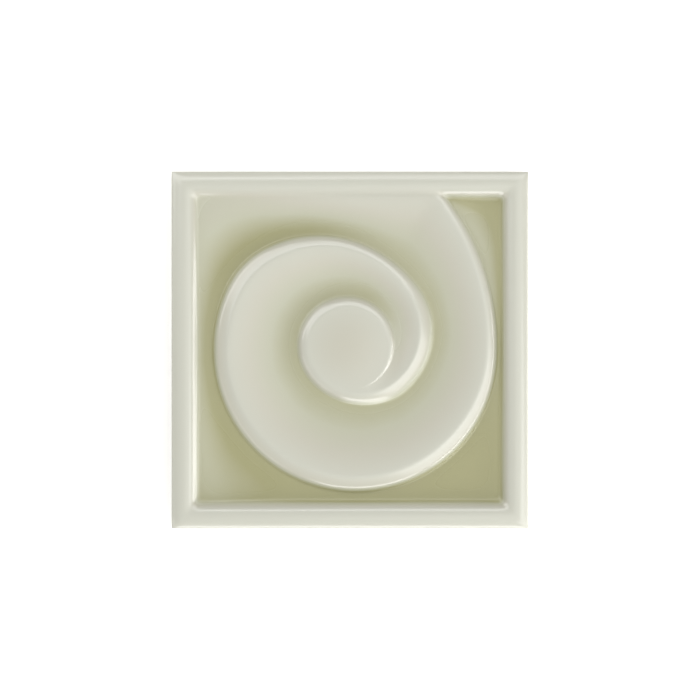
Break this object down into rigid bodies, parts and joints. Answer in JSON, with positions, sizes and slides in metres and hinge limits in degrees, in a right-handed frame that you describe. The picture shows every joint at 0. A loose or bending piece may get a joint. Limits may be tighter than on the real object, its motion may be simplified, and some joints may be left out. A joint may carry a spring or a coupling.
{
  "type": "porcelain relief tile",
  "caption": "Square glazed porcelain decor tile with a raised frame around one broad wave scroll in relief and a flat unglazed back with keying grooves.",
  "frame": {"origin": "middle of the tile's back, on the surface it lies on", "axes": "+Z out of the relief, square to the back; +X and +Y along the sides, +Y towards the side where the wave joins the frame"},
  "size_m": [0.1, 0.1, 0.011],
  "materials": {
    "glazed_porcelain": "glossy"
  },
  "bodies": {
    "root": {"tile": "glazed_porcelain"}
  },
  "joints": []
}
